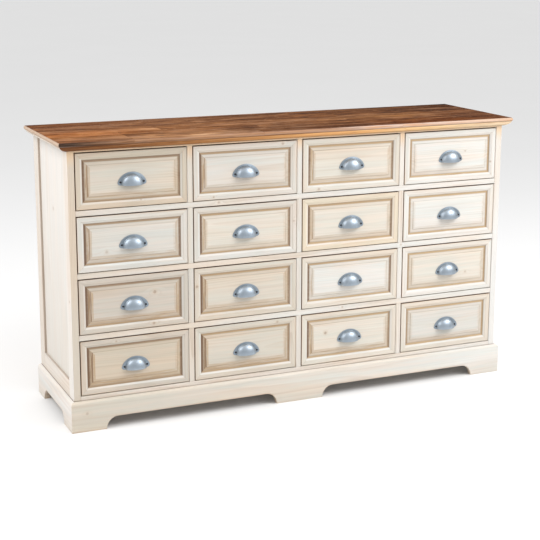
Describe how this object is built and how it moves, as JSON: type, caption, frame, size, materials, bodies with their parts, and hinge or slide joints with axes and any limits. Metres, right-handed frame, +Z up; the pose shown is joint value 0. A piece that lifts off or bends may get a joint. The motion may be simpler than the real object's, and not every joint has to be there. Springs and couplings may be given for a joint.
{
  "type": "chest of drawers",
  "caption": "Wide freestanding chest of drawers: stained wooden top over a limed cream carcass, a grid of drawers with raised-panel fronts and metal cup pulls, and a plinth with bracket feet.",
  "frame": {"origin": "on the floor, under the middle of the top board", "axes": "+Z up, +X along the length, the drawers open towards -Y"},
  "size_m": [1.66, 0.464, 0.95],
  "materials": {
    "stained_top": "brown stained wood, worn satin",
    "stained_moulding": "brown stained wood, rubbed back to pale on the edges",
    "limed_wood": "cream limed pine, matt",
    "limed_front": "cream limed pine with tan glaze in the recesses, matt",
    "raw_wood": "bare planed pine",
    "pull_metal": "satin blue-grey metal"
  },
  "bodies": {
    "carcass": {"top_board": "stained_top", "top_moulding": "stained_moulding", "left_side": "limed_wood", "right_side": "limed_wood", "face_frame": "limed_wood", "partitions": "raw_wood", "drawer_runners": "raw_wood", "bottom_board": "limed_wood", "back_boards": "raw_wood", "plinth_front": "limed_wood", "plinth_ends": "limed_wood", "plinth_bracing": "raw_wood"},
    "drawer_r1c1": {"drawer_r1c1_front": "limed_front", "drawer_r1c1_box": "raw_wood", "drawer_r1c1_pull": "pull_metal"},
    "drawer_r1c2": {"drawer_r1c2_front": "limed_front", "drawer_r1c2_box": "raw_wood", "drawer_r1c2_pull": "pull_metal"},
    "drawer_r1c3": {"drawer_r1c3_front": "limed_front", "drawer_r1c3_box": "raw_wood", "drawer_r1c3_pull": "pull_metal"},
    "drawer_r1c4": {"drawer_r1c4_front": "limed_front", "drawer_r1c4_box": "raw_wood", "drawer_r1c4_pull": "pull_metal"},
    "drawer_r2c1": {"drawer_r2c1_front": "limed_front", "drawer_r2c1_box": "raw_wood", "drawer_r2c1_pull": "pull_metal"},
    "drawer_r2c2": {"drawer_r2c2_front": "limed_front", "drawer_r2c2_box": "raw_wood", "drawer_r2c2_pull": "pull_metal"},
    "drawer_r2c3": {"drawer_r2c3_front": "limed_front", "drawer_r2c3_box": "raw_wood", "drawer_r2c3_pull": "pull_metal"},
    "drawer_r2c4": {"drawer_r2c4_front": "limed_front", "drawer_r2c4_box": "raw_wood", "drawer_r2c4_pull": "pull_metal"},
    "drawer_r3c1": {"drawer_r3c1_front": "limed_front", "drawer_r3c1_box": "raw_wood", "drawer_r3c1_pull": "pull_metal"},
    "drawer_r3c2": {"drawer_r3c2_front": "limed_front", "drawer_r3c2_box": "raw_wood", "drawer_r3c2_pull": "pull_metal"},
    "drawer_r3c3": {"drawer_r3c3_front": "limed_front", "drawer_r3c3_box": "raw_wood", "drawer_r3c3_pull": "pull_metal"},
    "drawer_r3c4": {"drawer_r3c4_front": "limed_front", "drawer_r3c4_box": "raw_wood", "drawer_r3c4_pull": "pull_metal"},
    "drawer_r4c1": {"drawer_r4c1_front": "limed_front", "drawer_r4c1_box": "raw_wood", "drawer_r4c1_pull": "pull_metal"},
    "drawer_r4c2": {"drawer_r4c2_front": "limed_front", "drawer_r4c2_box": "raw_wood", "drawer_r4c2_pull": "pull_metal"},
    "drawer_r4c3": {"drawer_r4c3_front": "limed_front", "drawer_r4c3_box": "raw_wood", "drawer_r4c3_pull": "pull_metal"},
    "drawer_r4c4": {"drawer_r4c4_front": "limed_front", "drawer_r4c4_box": "raw_wood", "drawer_r4c4_pull": "pull_metal"}
  },
  "joints": [
    {"name": "drawer_r1c1_slide", "type": "slide", "parent": "carcass", "child": "drawer_r1c1", "axis": [0, -1, 0], "range_m": [0, 0.3]},
    {"name": "drawer_r1c2_slide", "type": "slide", "parent": "carcass", "child": "drawer_r1c2", "axis": [0, -1, 0], "range_m": [0, 0.3]},
    {"name": "drawer_r1c3_slide", "type": "slide", "parent": "carcass", "child": "drawer_r1c3", "axis": [0, -1, 0], "range_m": [0, 0.3]},
    {"name": "drawer_r1c4_slide", "type": "slide", "parent": "carcass", "child": "drawer_r1c4", "axis": [0, -1, 0], "range_m": [0, 0.3]},
    {"name": "drawer_r2c1_slide", "type": "slide", "parent": "carcass", "child": "drawer_r2c1", "axis": [0, -1, 0], "range_m": [0, 0.3]},
    {"name": "drawer_r2c2_slide", "type": "slide", "parent": "carcass", "child": "drawer_r2c2", "axis": [0, -1, 0], "range_m": [0, 0.3]},
    {"name": "drawer_r2c3_slide", "type": "slide", "parent": "carcass", "child": "drawer_r2c3", "axis": [0, -1, 0], "range_m": [0, 0.3]},
    {"name": "drawer_r2c4_slide", "type": "slide", "parent": "carcass", "child": "drawer_r2c4", "axis": [0, -1, 0], "range_m": [0, 0.3]},
    {"name": "drawer_r3c1_slide", "type": "slide", "parent": "carcass", "child": "drawer_r3c1", "axis": [0, -1, 0], "range_m": [0, 0.3]},
    {"name": "drawer_r3c2_slide", "type": "slide", "parent": "carcass", "child": "drawer_r3c2", "axis": [0, -1, 0], "range_m": [0, 0.3]},
    {"name": "drawer_r3c3_slide", "type": "slide", "parent": "carcass", "child": "drawer_r3c3", "axis": [0, -1, 0], "range_m": [0, 0.3]},
    {"name": "drawer_r3c4_slide", "type": "slide", "parent": "carcass", "child": "drawer_r3c4", "axis": [0, -1, 0], "range_m": [0, 0.3]},
    {"name": "drawer_r4c1_slide", "type": "slide", "parent": "carcass", "child": "drawer_r4c1", "axis": [0, -1, 0], "range_m": [0, 0.3]},
    {"name": "drawer_r4c2_slide", "type": "slide", "parent": "carcass", "child": "drawer_r4c2", "axis": [0, -1, 0], "range_m": [0, 0.3]},
    {"name": "drawer_r4c3_slide", "type": "slide", "parent": "carcass", "child": "drawer_r4c3", "axis": [0, -1, 0], "range_m": [0, 0.3]},
    {"name": "drawer_r4c4_slide", "type": "slide", "parent": "carcass", "child": "drawer_r4c4", "axis": [0, -1, 0], "range_m": [0, 0.3]}
  ]
}
